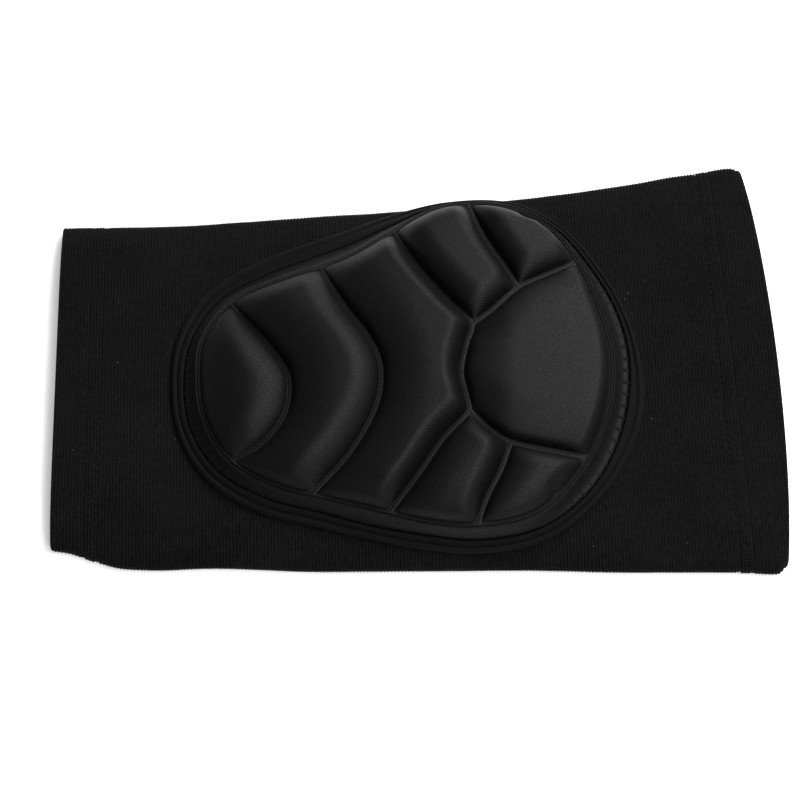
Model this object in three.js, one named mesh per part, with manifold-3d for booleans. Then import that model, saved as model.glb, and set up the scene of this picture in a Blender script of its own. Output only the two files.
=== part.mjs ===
// Knitted elastic knee sleeve lying flat, with a moulded pad of eight raised foam cells.
// Millimetres. +X runs along the sleeve to the thigh end, +Y to the far side fold, +Z up.
// The origin is at the middle of the model's box, on the surface that the sleeve lies on.

import * as THREE from 'three';
import { mergeVertices } from 'three/addons/utils/BufferGeometryUtils.js';
import Module from 'manifold-3d';

const wasm = await Module();
wasm.setup();

// Sleeve: lengths and widths as it lies flat
const sleeveLength = 261;       // cuff to cuff along the side folds
const calfWidth = 131.5;        // narrow end
const thighWidth = 167;         // wide end
const thighBow = 4.5;           // how far the thigh edge bows out past its corners
const knitWall = 1.6;           // one layer of knit
const hemWall = 2.1;            // the turned hem at each end
const hemLength = 15;
const foldHeight = 5.2;         // height of the rounded side folds
const crownHeight = 4.2;        // how much higher the upper layer lies between the folds

// Pad: plan size of the moulded field inside its rim, and where it sits on the sleeve
const padLength = 152;
const padWidth = 133;
const padTurn = 2.6;            // degrees, the pad's long axis against the sleeve's
const padAlong = -2;             // pad centre from the middle of the side folds
const padAcross = -3;           // and from the sleeve's middle line
const rimSeat = 11.7;           // height of the knit under the pad's rim
const domeRise = 7;             // how much higher the knit lies under the pad's middle

// Pad: thicknesses, measured up from its underside
const seatGap = 0.3;            // clearance between pieces
const floorThickness = 3;       // foam left under the grooves
const rimThickness = 3.9;       // the small ridge round the field
const flangeThickness = 2.3;    // pressed flange outside the ridge
const cellHeight = 8.6;         // the middle of a full cell above the groove floor
const cellShoulder = 2.6;       // height of a cell's steep side
const grooveWidth = 1.7;

// Binding: the knit band sewn round the flange, with a rolled outer edge
const bindingThickness = 1.8;
const beadThickness = 2.7;
const beadWidth = 1.8;

// Mesh steps
const padSteps = 60;            // round the pad
const topSteps = 22;            // across the upper layer
const arcSteps = 2;             // in each quarter of a side fold
const baseSteps = 3;            // across the lower layer
const bodySteps = 26;           // along the sleeve between its hems

const knitBlack = new THREE.MeshStandardMaterial({ color: 0x101012, roughness: 0.95, metalness: 0 });
const padBlack = new THREE.MeshStandardMaterial({ color: 0x1c1c1f, roughness: 0.6, metalness: 0 });
const bandBlack = new THREE.MeshStandardMaterial({ color: 0x131315, roughness: 0.9, metalness: 0 });

// Sleeve outline. along is a share of the length from the calf end. far and near say how far
// each side fold has opened from half the calf width to half the thigh width.
const outline = [
  { along: 0.000, far: 0.00, near: 0.00 },
  { along: 0.030, far: 0.00, near: 0.09 },
  { along: 0.055, far: -0.01, near: 0.24 },
  { along: 0.090, far: -0.02, near: 0.42 },
  { along: 0.130, far: -0.03, near: 0.49 },
  { along: 0.220, far: 0.00, near: 0.50 },
  { along: 0.360, far: 0.10, near: 0.64 },
  { along: 0.500, far: 0.18, near: 0.70 },
  { along: 0.660, far: 0.37, near: 0.77 },
  { along: 0.750, far: 0.51, near: 0.85 },
  { along: 0.840, far: 0.69, near: 0.90 },
  { along: 0.900, far: 0.84, near: 0.93 },
  { along: 0.945, far: 0.92, near: 0.96 },
  { along: 0.985, far: 1.00, near: 1.00 },
  { along: 1.000, far: 0.90, near: 0.82 },
];

// Pad outline every 15 degrees from the thigh side, turning to the far side. rim, seam (where
// the flange is sewn to the binding) and edge are shares of half the pad's length and width.
const padOutline = [
  { turn: 0, rim: 1.000, seam: 1.078, edge: 1.131 },
  { turn: 15, rim: 1.003, seam: 1.083, edge: 1.126 },
  { turn: 30, rim: 1.046, seam: 1.100, edge: 1.142 },
  { turn: 45, rim: 1.110, seam: 1.146, edge: 1.190 },
  { turn: 60, rim: 1.110, seam: 1.160, edge: 1.207 },
  { turn: 75, rim: 1.022, seam: 1.080, edge: 1.124 },
  { turn: 90, rim: 0.850, seam: 0.925, edge: 1.018 },
  { turn: 105, rim: 0.752, seam: 0.846, edge: 0.952 },
  { turn: 120, rim: 0.751, seam: 0.852, edge: 0.965 },
  { turn: 135, rim: 0.822, seam: 0.918, edge: 1.028 },
  { turn: 150, rim: 0.945, seam: 1.020, edge: 1.102 },
  { turn: 165, rim: 1.004, seam: 1.064, edge: 1.130 },
  { turn: 180, rim: 1.007, seam: 1.070, edge: 1.130 },
  { turn: 195, rim: 1.014, seam: 1.080, edge: 1.140 },
  { turn: 210, rim: 1.005, seam: 1.062, edge: 1.132 },
  { turn: 225, rim: 0.942, seam: 0.995, edge: 1.075 },
  { turn: 240, rim: 0.880, seam: 0.928, edge: 1.003 },
  { turn: 255, rim: 0.872, seam: 0.928, edge: 0.990 },
  { turn: 270, rim: 0.930, seam: 0.972, edge: 1.038 },
  { turn: 285, rim: 1.020, seam: 1.062, edge: 1.122 },
  { turn: 300, rim: 1.085, seam: 1.133, edge: 1.195 },
  { turn: 315, rim: 1.060, seam: 1.134, edge: 1.196 },
  { turn: 330, rim: 1.028, seam: 1.106, edge: 1.180 },
  { turn: 345, rim: 1.007, seam: 1.082, edge: 1.160 },
];

// Where each groove meets the rim, in degrees round the pad, and the corners of the two wedges
const meets = {
  lensFar: 151.5,
  lensNear: 210.3,
  chevronFar: 120.8,
  chevronNear: 236,
  blockFar: 90.4,
  blockNear: 260.9,
  wedgeFar: 69.1,
  wedgeNear: 285.1,
  capFar: 32.4,
  capNear: 321.9,
  farCorner: 52.9,
  nearCorner: 307.5,
};

// Places where grooves meet inside the field, as shares of half the pad's length and width
const capFarPoint = [0.329, 0.171];
const capNearPoint = [0.272, -0.340];
const wedgeFarPoint = [0.574, 0.393];
const wedgeNearPoint = [0.455, -0.532];

// Smooth step from 0 to 1
function ease(t) {
  const s = Math.min(Math.max(t, 0), 1);
  return s * s * (3 - 2 * s);
}

// Value of a table's column at a place, by straight lines between its rows
function lookUp(rows, key, column, place) {
  let k = 1;
  while (k < rows.length - 1 && rows[k][key] < place) {
    k += 1;
  }
  const a = rows[k - 1];
  const b = rows[k];
  const t = Math.min(Math.max((place - a[key]) / (b[key] - a[key]), 0), 1);
  return a[column] + (b[column] - a[column]) * t;
}

// Value of the pad outline's column at an angle, by a closed cubic through the rows
function outlineShare(column, degrees) {
  const count = padOutline.length;
  const place = ((degrees % 360) + 360) % 360 / (360 / count);
  const k = Math.floor(place);
  const t = place - k;
  const [p, q, r, s] = [-1, 0, 1, 2].map((n) => padOutline[(k + n + count) % count][column]);
  const cubic = 2 * q + (r - p) * t + (2 * p - 5 * q + 4 * r - s) * t * t + (3 * q - p - 3 * r + s) * t ** 3;
  return cubic / 2;
}

// Place in plan of a point given in shares of half the pad's length and width
function padPlace([along, across]) {
  const turn = THREE.MathUtils.degToRad(padTurn);
  const x = along * padLength / 2;
  const y = across * padWidth / 2;
  return [
    padAlong + x * Math.cos(turn) - y * Math.sin(turn),
    padAcross + x * Math.sin(turn) + y * Math.cos(turn),
  ];
}

// Share of the way from the pad's middle to its rim, and from its rim to its outer edge
function padShares(x, y) {
  const turn = THREE.MathUtils.degToRad(padTurn);
  const dx = x - padAlong;
  const dy = y - padAcross;
  const along = (dx * Math.cos(turn) + dy * Math.sin(turn)) / (padLength / 2);
  const across = (dy * Math.cos(turn) - dx * Math.sin(turn)) / (padWidth / 2);
  const reach = Math.hypot(along, across);
  const degrees = THREE.MathUtils.radToDeg(Math.atan2(across, along));
  const rim = outlineShare('rim', degrees);
  const edge = outlineShare('edge', degrees);
  return { field: reach / rim, flange: (reach - rim) / (edge - rim) };
}

// Half widths of the sleeve at a share of its length, on the far and the near side
function halfWidths(along) {
  const narrow = calfWidth / 2;
  const opening = thighWidth / 2 - narrow;
  return {
    far: narrow + opening * lookUp(outline, 'along', 'far', along),
    near: narrow + opening * lookUp(outline, 'along', 'near', along),
  };
}

// Height of the upper knit layer at a place in plan, where no side fold rounds it down
function layerHeight(x, y) {
  const { far, near } = halfWidths(x / sleeveLength + 0.5);
  const side = Math.min(Math.abs((2 * y - far + near) / (far + near)), 1);
  const lying = foldHeight + crownHeight * (1 - side ** 6);
  const { field, flange } = padShares(x, y);
  const domed = rimSeat + domeRise * Math.max(1 - field * field, 0);
  const lift = Math.min(Math.max(1 - flange, 0), 1) ** 1.4;
  return lying + (domed - lying) * lift;
}

// Closed geometry over rings of equal length. Rings follow each other, and a ring whose points
// coincide closes the body to a point or a line.
function skin(rings, closed) {
  const count = rings[0].length;
  const index = [];
  const last = closed ? rings.length : rings.length - 1;
  for (let k = 0; k < last; k += 1) {
    const next = (k + 1) % rings.length;
    for (let n = 0; n < count; n += 1) {
      const a = k * count + n;
      const b = k * count + (n + 1) % count;
      const c = next * count + (n + 1) % count;
      const d = next * count + n;
      index.push(a, b, c, a, c, d);
    }
  }
  const geometry = new THREE.BufferGeometry();
  geometry.setAttribute('position', new THREE.Float32BufferAttribute(rings.flat(2), 3));
  geometry.setIndex(index);
  return geometry;
}

// Solid from a closed geometry: shared vertices merged, flat triangles dropped, faces outward
function toSolid(geometry) {
  const merged = mergeVertices(geometry, 1e-4);
  const position = merged.attributes.position;
  const corners = [0, 1, 2].map(() => new THREE.Vector3());
  const kept = [];
  let volume = 0;
  for (let k = 0; k < merged.index.count; k += 3) {
    const tri = [0, 1, 2].map((n) => merged.index.getX(k + n));
    if (tri[0] !== tri[1] && tri[1] !== tri[2] && tri[2] !== tri[0]) {
      tri.forEach((vertex, n) => corners[n].fromBufferAttribute(position, vertex));
      volume += corners[0].dot(corners[1].cross(corners[2]));
      kept.push(tri);
    }
  }
  const facing = volume > 0 ? kept : kept.map(([a, b, c]) => [a, c, b]);
  return new wasm.Manifold(new wasm.Mesh({
    numProp: 3,
    vertProperties: new Float32Array(position.array),
    triVerts: new Uint32Array(facing.flat()),
  }));
}

// Geometry of a solid, with flat faces
function toGeometry(solid) {
  const mesh = solid.getMesh();
  const geometry = new THREE.BufferGeometry();
  geometry.setAttribute('position', new THREE.BufferAttribute(mesh.vertProperties.slice(), 3));
  geometry.setIndex(new THREE.BufferAttribute(mesh.triVerts.slice(), 1));
  geometry.computeVertexNormals();
  return geometry;
}

// One loop round the sleeve at a share of its length: over the upper layer from the far fold to
// the near one, then back under. wall is how far it lies inside the knit's outer face, and lift
// raises its upper half.
function sleeveLoop(along, wall, lift) {
  const { far, near } = halfWidths(along);
  const middle = (far - near) / 2;
  const half = (far + near) / 2;
  const radius = foldHeight / 2;
  const straight = half - radius;
  const endward = ease((along - 0.6) / 0.4);
  const place = (y, z) => {
    const side = (y - middle) / half;
    const x = sleeveLength * (along - 0.5) + thighBow * endward * (1 - side * side);
    return [x, y, z];
  };
  const top = (y) => layerHeight(sleeveLength * (along - 0.5), y) - wall + lift;
  const loop = [];
  for (let k = 0; k <= topSteps; k += 1) {
    const y = middle + straight * Math.cos(Math.PI * k / topSteps) * 0.35
      + straight * (1 - 2 * k / topSteps) * 0.65;
    loop.push(place(y, top(y)));
  }
  for (let k = 1; k < 2 * arcSteps; k += 1) {
    const angle = Math.PI * k / (2 * arcSteps);
    const y = middle - straight - (radius - wall) * Math.sin(angle);
    const upper = top(y) - radius;
    const rise = angle < Math.PI / 2 ? upper : radius - wall;
    loop.push(place(y, radius + rise * Math.cos(angle)));
  }
  for (let k = 0; k <= baseSteps; k += 1) {
    const y = middle + straight * (2 * k / baseSteps - 1);
    loop.push(place(y, wall));
  }
  for (let k = 1; k < 2 * arcSteps; k += 1) {
    const angle = Math.PI * k / (2 * arcSteps);
    const y = middle + straight + (radius - wall) * Math.sin(angle);
    const upper = top(y) - radius;
    const rise = angle > Math.PI / 2 ? upper : radius - wall;
    loop.push(place(y, radius - rise * Math.cos(angle)));
  }
  return loop;
}

// Shares of the length where loops go: close together under the pad and at the hems
function sleeveStations() {
  const hem = hemLength / sleeveLength;
  const stations = [0, 0.015, 0.035, hem, hem + 0.004];
  const first = hem + 0.03;
  const last = 1 - hem - 0.025;
  for (let k = 0; k <= bodySteps; k += 1) {
    stations.push(first + (last - first) * k / bodySteps);
  }
  stations.push(1 - hem - 0.004, 1 - hem, 0.965, 0.985, 1);
  return stations;
}

// Knit wall at a share of the length: thicker in the two hems
function wallAt(along) {
  const fromEnd = Math.min(along, 1 - along) * sleeveLength;
  return fromEnd > hemLength + 0.5 ? knitWall : hemWall;
}

function sleeveSolid() {
  const stations = sleeveStations();
  const outer = stations.map((along) => sleeveLoop(along, 0, 0));
  const inner = stations.map((along) => sleeveLoop(along, wallAt(along), 0)).reverse();
  return toSolid(skin([...outer, ...inner], true));
}

// The space that the sleeve fills, raised by the clearance, which trims what is sewn on it
function sleeveSpace() {
  const loops = sleeveStations().map((along) => sleeveLoop(along, 0, seatGap));
  const ends = [loops[0], loops[loops.length - 1]].map((loop) => {
    const centre = [0, 1, 2].map((n) => loop.reduce((sum, point) => sum + point[n], 0) / loop.length);
    return loop.map(() => centre);
  });
  return toSolid(skin([ends[0], ...loops, ends[1]], false));
}

// Ring of places round the pad. share(degrees) gives each place's reach, and thickness its
// height above the pad's underside.
function padRing(share, thickness) {
  const ring = [];
  for (let k = 0; k < padSteps; k += 1) {
    const degrees = 360 * k / padSteps;
    const angle = THREE.MathUtils.degToRad(degrees);
    const reach = share(degrees);
    const [x, y] = padPlace([reach * Math.cos(angle), reach * Math.sin(angle)]);
    ring.push([x, y, layerHeight(x, y) + seatGap + thickness]);
  }
  return ring;
}

const fieldReach = (part) => (degrees) => part * outlineShare('rim', degrees);

// Reach of a ring part of the way from one column of the outline to another, moved out by a
// number of millimetres
const reachBetween = (from, to) => (part, out) => (degrees) => {
  const start = outlineShare(from, degrees);
  return start + (outlineShare(to, degrees) - start) * part + out / (padLength / 2);
};
const flangeReach = reachBetween('rim', 'seam');
const bandReach = reachBetween('seam', 'edge');

// The pad's base: groove floors, rim ridge and flange. Its underside starts low and is trimmed.
const sunk = -0.5;
function padBase() {
  const top = [
    padRing(() => 0, floorThickness),
    ...[0.2, 0.4, 0.6, 0.8, 0.93, 0.98].map((part) => padRing(fieldReach(part), floorThickness)),
    padRing(fieldReach(1), rimThickness),
    padRing(flangeReach(0, 1.2), floorThickness),
    padRing(flangeReach(0.6, 0), flangeThickness),
    padRing(flangeReach(1, -seatGap / 2), flangeThickness * 0.8),
  ];
  const under = [
    padRing(flangeReach(1, -seatGap / 2), sunk),
    padRing(flangeReach(0.6, 0), sunk),
    ...[1, 0.93, 0.8, 0.6, 0.4, 0.2].map((part) => padRing(fieldReach(part), sunk)),
    padRing(() => 0, sunk),
  ];
  return toSolid(skin([...top, ...under], false));
}

function bindingSolid() {
  const top = [
    padRing(bandReach(0, seatGap / 2), bindingThickness),
    padRing(bandReach(0.3, 0), bindingThickness),
    padRing(bandReach(1, -beadWidth), beadThickness),
    padRing(bandReach(1, -beadWidth * 0.4), beadThickness),
    padRing(bandReach(1, 0), beadThickness / 2),
  ];
  const under = [
    padRing(bandReach(1, -beadWidth * 0.2), sunk),
    padRing(bandReach(0.3, 0), sunk),
    padRing(bandReach(0, seatGap / 2), sunk),
  ];
  return toSolid(skin([...top, ...under], true)).subtract(sleeveSpace());
}

// A line along the pad through chosen points, as a function of a share from 0 to 1
function line(points) {
  const curve = new THREE.CatmullRomCurve3(
    points.map(([along, across]) => new THREE.Vector3(along, across, 0)), false, 'centripetal');
  return (t) => curve.getPoint(t).toArray().slice(0, 2);
}

// The stretch of the rim between two angles
function rimLine(from, to) {
  return (t) => rimPoint(from + (to - from) * t);
}

function rimPoint(degrees) {
  const angle = THREE.MathUtils.degToRad(degrees);
  const reach = outlineShare('rim', degrees) * 0.975;
  return [reach * Math.cos(angle), reach * Math.sin(angle)];
}

const fixed = (point) => () => point;

// The grooves, from the far side to the near side or from the calf side to the thigh side
const grooves = {
  lens: line([rimPoint(meets.lensFar), [-0.733, 0.290], [-0.634, 0.122], [-0.564, -0.041],
    [-0.562, -0.161], [-0.597, -0.289], [-0.708, -0.427], rimPoint(meets.lensNear)]),
  chevron: line([rimPoint(meets.chevronFar), [-0.262, 0.334], [-0.180, 0.165], [-0.129, 0.012],
    [-0.124, -0.126], [-0.162, -0.286], [-0.300, -0.526], rimPoint(meets.chevronNear)]),
  middle: line([rimPoint(meets.blockFar), [0.107, 0.546], [0.236, 0.319], capFarPoint, [0.295, 0.050],
    [0.257, -0.117], [0.270, -0.259], capNearPoint, [0.147, -0.484], [0.007, -0.683],
    rimPoint(meets.blockNear)]),
  blockFar: line([rimPoint(meets.blockFar), [0.107, 0.546], [0.236, 0.319], capFarPoint]),
  capCalf: line([capFarPoint, [0.295, 0.050], [0.257, -0.117], [0.270, -0.259], capNearPoint]),
  blockNear: line([capNearPoint, [0.147, -0.484], [0.007, -0.683], rimPoint(meets.blockNear)]),
  wedgeFar: line([rimPoint(meets.wedgeFar), [0.442, 0.732], [0.534, 0.508], wedgeFarPoint]),
  wedgeNear: line([wedgeNearPoint, [0.399, -0.677], [0.316, -0.835], rimPoint(meets.wedgeNear)]),
  capFar: line([capFarPoint, [0.422, 0.244], wedgeFarPoint, [0.713, 0.471], rimPoint(meets.capFar)]),
  capNear: line([capNearPoint, [0.383, -0.477], wedgeNearPoint, [0.680, -0.602], rimPoint(meets.capNear)]),
  capFarCalf: line([capFarPoint, [0.422, 0.244], wedgeFarPoint]),
  capFarThigh: line([wedgeFarPoint, [0.713, 0.471], rimPoint(meets.capFar)]),
  capNearCalf: line([capNearPoint, [0.383, -0.477], wedgeNearPoint]),
  capNearThigh: line([wedgeNearPoint, [0.680, -0.602], rimPoint(meets.capNear)]),
};

// Each cell lies between four lines. calf and thigh run from the far to the near side, far and
// near from the calf to the thigh side. lift is its share of the full cell height.
const cells = [
  { lift: 0.86, calf: rimLine(meets.lensFar, meets.lensNear), thigh: grooves.lens,
    far: fixed(rimPoint(meets.lensFar)), near: fixed(rimPoint(meets.lensNear)) },
  { lift: 0.95, calf: grooves.lens, thigh: grooves.chevron,
    far: rimLine(meets.lensFar, meets.chevronFar), near: rimLine(meets.lensNear, meets.chevronNear) },
  { lift: 1.00, calf: grooves.chevron, thigh: grooves.middle,
    far: rimLine(meets.chevronFar, meets.blockFar), near: rimLine(meets.chevronNear, meets.blockNear) },
  { lift: 0.95, calf: grooves.blockFar, thigh: grooves.wedgeFar,
    far: rimLine(meets.blockFar, meets.wedgeFar), near: grooves.capFarCalf },
  { lift: 0.86, calf: grooves.wedgeFar, thigh: rimLine(meets.farCorner, meets.capFar),
    far: rimLine(meets.wedgeFar, meets.farCorner), near: grooves.capFarThigh },
  { lift: 1.08, calf: grooves.capCalf, thigh: rimLine(meets.capFar, meets.capNear - 360),
    far: grooves.capFar, near: grooves.capNear },
  { lift: 0.95, calf: grooves.blockNear, thigh: grooves.wedgeNear,
    far: grooves.capNearCalf, near: rimLine(meets.blockNear, meets.wedgeNear) },
  { lift: 0.90, calf: grooves.wedgeNear, thigh: rimLine(meets.capNear, meets.nearCorner),
    far: grooves.capNearThigh, near: rimLine(meets.wedgeNear, meets.nearCorner) },
];

// Point of a cell between its four lines, at shares across from the calf side and down from far
function cellPoint(cell, across, down) {
  const mix = (a, b, t) => a.map((value, n) => value + (b[n] - value) * t);
  const between = mix(cell.calf(down), cell.thigh(down), across);
  const along = mix(cell.far(across), cell.near(across), down);
  const corners = mix(
    mix(cell.far(0), cell.far(1), across), mix(cell.near(0), cell.near(1), across), down);
  return between.map((value, n) => value + along[n] - corners[n]);
}

// How full a cell is at a share across it: steep at its sides and flat in the middle
function fullness(share) {
  const inward = Math.min(share, 1 - share) * 2;
  return 1 - (1 - inward) ** 2.8;
}

// One raised cell, with its foot inside the pad's base
function cellSolid(cell) {
  const steps = [0, 0.04, 0.11, 0.21, 0.35, 0.5, 0.65, 0.79, 0.89, 0.96, 1];
  const inset = grooveWidth / 2 / (padWidth / 4.2);
  const spread = (share) => inset + share * (1 - 2 * inset);
  const rows = steps.map((down) => {
    const points = steps.map((across) => {
      const [x, y] = padPlace(cellPoint(cell, spread(across), spread(down)));
      const base = layerHeight(x, y) + seatGap + floorThickness;
      const swell = (cellHeight * cell.lift - cellShoulder) * fullness(across) * fullness(down);
      return { foot: [x, y, base - floorThickness / 2], top: [x, y, base + cellShoulder + swell] };
    });
    return [...points.map((point) => point.top), ...points.map((point) => point.foot).reverse()];
  });
  const flat = (row) => {
    const feet = row.slice(steps.length).reverse();
    return [...feet, ...feet.slice().reverse()];
  };
  return toSolid(skin([flat(rows[0]), ...rows, flat(rows[rows.length - 1])], false));
}

function padSolid() {
  const base = padBase().subtract(sleeveSpace());
  return cells.reduce((solid, cell) => solid.add(cellSolid(cell)), base);
}

// A named mesh of a solid
function piece(name, solid, material) {
  const mesh = new THREE.Mesh(toGeometry(solid), material);
  mesh.name = name;
  return mesh;
}

const brace = new THREE.Group();
brace.add(piece('knit_sleeve', sleeveSolid(), knitBlack));
brace.add(piece('moulded_pad', padSolid(), padBlack));
brace.add(piece('edge_binding', bindingSolid(), bandBlack));

// The model's box is centred over the origin and stands on it
const box = new THREE.Box3().setFromObject(brace);
const middle = box.getCenter(new THREE.Vector3());
brace.children.forEach((mesh) => mesh.geometry.translate(-middle.x, -middle.y, -box.min.z));

export default brace;
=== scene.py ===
import math

import bpy
import numpy as np
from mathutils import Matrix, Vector


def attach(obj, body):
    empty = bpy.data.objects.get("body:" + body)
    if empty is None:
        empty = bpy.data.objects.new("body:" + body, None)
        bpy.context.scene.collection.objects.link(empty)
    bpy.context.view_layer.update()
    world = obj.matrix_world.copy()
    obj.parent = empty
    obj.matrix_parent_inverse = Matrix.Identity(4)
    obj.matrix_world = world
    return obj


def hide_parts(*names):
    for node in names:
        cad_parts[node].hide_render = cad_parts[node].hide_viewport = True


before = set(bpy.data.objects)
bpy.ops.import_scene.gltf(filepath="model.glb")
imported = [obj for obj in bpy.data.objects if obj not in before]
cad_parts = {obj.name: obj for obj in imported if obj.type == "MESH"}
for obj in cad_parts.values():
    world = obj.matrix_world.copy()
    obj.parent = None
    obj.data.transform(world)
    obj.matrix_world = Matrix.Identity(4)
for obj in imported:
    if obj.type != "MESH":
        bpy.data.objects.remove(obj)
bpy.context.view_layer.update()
print("frame loaded:", sorted(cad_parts))

mm = 0.001

# The knit tube as it lies: the same sizes that the construction has
sleeve = {
    "length": 261,
    "calfWidth": 131.5,
    "thighWidth": 167,
    "thighBow": 4.5,
    "wall": 1.6,
    "hemWall": 2.1,
    "hemLength": 15,
    "foldHeight": 5.2,
    "crownHeight": 4.2,
    "crownPower": 6,               # how flat the upper layer lies between its folds
    "ribPitch": 1.2,
    "ribDepth": 0.42,
    "ribWander": ((.35, 70, 3), (.1, 16, 5)),    # millimetres, length of a wave, seed
    "ribUneven": (.25, 24, 9),     # share of the depth, length of a wave, seed
    "slack": (.12, 30, 12),        # millimetres, length of a wave, seed
    "rowsPerRib": 4,
    "topColumns": 52,
    "foldColumns": 7,
    "baseColumns": 14,
    "innerRows": 60,
    "calfSeams": (16.3, 11.5),     # stitched lines, from each end; the thigh's run straight
    "thighSeams": (17.3, 12.8),    # across its bowed edge
    "seamBow": 4.1,
    "seamDepth": 0.38,
    "seamWidth": 0.55,
    "hemRaise": 0.2,               # how much prouder a hem lies than the knit beside it
    "hemStep": 1.2,                # over so many millimetres
    "endReach": 0.9,               # how far the rounded ends stand out
    "stitchPitch": 2.6,
    "stitchSize": (1.8, .4, .3),
    "stitchStand": 0.12,           # how far stitches stand out of the bottom of their line
}

# Faint creases of the upper layer: from and to in plan, depth and half width
creases = [
    (-131, -1, -99, -3, .3, 1.3),
    (84, 20, 131, 30.5, .34, 1.5),
    (-118, 38, -84, 35, .16, 2.2),
    (76, -34, 122, -42, .18, 2.4),
]

# How far each side fold has opened from half the calf width to half the thigh width
sleeveOutline = {
    "along": [0, .03, .055, .09, .13, .22, .36, .5, .66, .75, .84, .9, .945, .985, 1],
    "far": [0, 0, -.01, -.02, -.03, 0, .1, .18, .37, .51, .69, .84, .92, 1, .9],
    "near": [0, .09, .24, .42, .49, .5, .64, .7, .77, .85, .9, .93, .96, 1, .82],
}

# The moulded pad: its seat on the knit, its field of cells and the first ridge round it
pad = {
    "length": 152,
    "width": 133,
    "turn": math.radians(2.6),
    "along": -2,
    "across": -3,
    "rimSeat": 11.7,
    "domeRise": 7,
    "domeFade": 1.4,               # how quickly the knit sinks outside the rim
    "gap": 0.3,
    "floor": 3.8,
    "floorHalf": 0.8,
    "floorCrown": 0.18,
    "ridgeHalf": 0.45,
    "ridgeHeight": 0.5,
    "cellHeight": 7.3,
    "footReach": 1.0,
    "rimInset": 0.985,
}

# Ridges round the field: millimetres out from the rim line, and height over the groove floor
ridges = [(0, pad["ridgeHeight"]), (.2, .42), (.36, .18), (.5, -.2), (.64, -.2), (.8, .08), (1.0, .26),
          (1.22, .2), (1.42, -.05), (1.6, -.4)]

# The sewn flange outside the ridges
flange = {
    "start": 1.72,                 # millimetres out from the rim line
    "startDrop": 0.5,              # and below the groove floor
    "thickness": 1.75,
    "seamHeight": 0.95,            # where stitches press it down
    "bend": 2.6,                   # how quickly it drops beside the ridges
    "rings": [0, .04, .1, .18, .28, .4, .52, .64, .74, .82, .88, .93, .97, 1],
    "stitches": 98,
    "stepsPerStitch": 13,
    "pucker": 0.62,                # deepest at puckerTurn degrees round the pad
    "puckerPower": 12,
    "puckerTurn": -14,
    "puckerSpread": 24,
    "puckerUneven": 0.45,
    "tuck": 0.4,
    "stitchSize": (1.7, .36, .34),
    "stitchPlace": -0.75,          # its middle, out from the seam
}

# Pad outline every 15 degrees from the thigh side, in shares of half the length and width:
# the rim of the field, the seam where the flange is sewn to the band, and the band's edge
padOutline = {
    "rim": [1.000, 1.003, 1.046, 1.110, 1.110, 1.022, .850, .752, .751, .822, .945, 1.004,
            1.007, 1.014, 1.005, .942, .880, .872, .930, 1.020, 1.085, 1.060, 1.028, 1.007],
    "seam": [1.078, 1.083, 1.100, 1.146, 1.160, 1.080, .925, .846, .852, .918, 1.020, 1.064,
             1.070, 1.080, 1.062, .995, .928, .928, .972, 1.062, 1.133, 1.134, 1.106, 1.082],
    "edge": [1.131, 1.126, 1.142, 1.190, 1.207, 1.124, 1.018, .952, .965, 1.028, 1.102, 1.130,
             1.130, 1.140, 1.132, 1.075, 1.003, .990, 1.038, 1.122, 1.195, 1.196, 1.180, 1.160],
}

# Where the grooves meet the rim, in degrees round the pad, in order
rimStops = {
    "capFar": 32.4, "farCorner": 52.9, "wedgeFar": 69.1, "blockFar": 90.4, "chevronFar": 120.8,
    "lensFar": 151.5, "lensNear": 210.3, "chevronNear": 236, "blockNear": 260.9,
    "wedgeNear": 285.1, "nearCorner": 307.5, "capNear": 321.9,
}

# Sewn knit band round the flange, with a rolled outer edge
band = {
    "thickness": 1.75,
    "beadHeight": 1.9,
    "beadWidth": 2.7,
    "ribs": 500,
    "ribDepth": 0.34,
    "stepsPerRib": 4,
}

# Where the camera stands from its target: degrees round it and above the floor, millimetres
camera = {"turn": -2.01, "rise": 65, "distance": 732.8, "target": (-6.65, -9.82, 0), "lens": 89.3}


def ease(t):
    # smooth step from 0 to 1: 3 * s ** 2 - 2 * s ** 3
    s = np.clip(t, 0, 1)
    return s * s * (3 - 2 * s)


def smoothRows(key, column, place):
    # cubic through table rows: each row's slope is the weighted mean of its two neighbours' slopes
    x = np.asarray(key, float)
    y = np.asarray(column, float)
    step = np.diff(x)
    rise = np.diff(y) / step
    slope = np.concatenate([rise[:1], (rise[:-1] * step[1:] + rise[1:] * step[:-1])
                            / (step[1:] + step[:-1]), rise[-1:]])
    flat = np.concatenate([[False], rise[:-1] * rise[1:] <= 0, [False]])
    slope = np.where(flat, 0, slope)
    k = np.clip(np.searchsorted(x, place) - 1, 0, len(x) - 2)
    t = np.clip((place - x[k]) / step[k], 0, 1)
    a, b = y[k], y[k + 1]
    return (a * (1 + 2 * t) * (1 - t) ** 2 + b * t * t * (3 - 2 * t)
            + slope[k] * step[k] * t * (1 - t) ** 2 - slope[k + 1] * step[k] * t * t * (1 - t))


def outlineShare(column, degrees):
    # closed cubic through the rows of the pad outline
    rows = np.asarray(padOutline[column])
    count = len(rows)
    place = np.mod(degrees, 360) / (360 / count)
    k = np.floor(place).astype(int)
    t = place - k
    p, q, r, s = (rows[(k + n) % count] for n in (-1, 0, 1, 2))
    return (2 * q + (r - p) * t + (2 * p - 5 * q + 4 * r - s) * t ** 2
            + (3 * q - p - 3 * r + s) * t ** 3) / 2


def padPlace(shares):
    # from shares of half the pad's length and width to the plan, turned with the pad
    x = shares[..., 0] * pad["length"] / 2
    y = shares[..., 1] * pad["width"] / 2
    c, s = math.cos(pad["turn"]), math.sin(pad["turn"])
    return np.stack([pad["along"] + x * c - y * s, pad["across"] + x * s + y * c], -1)


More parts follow.
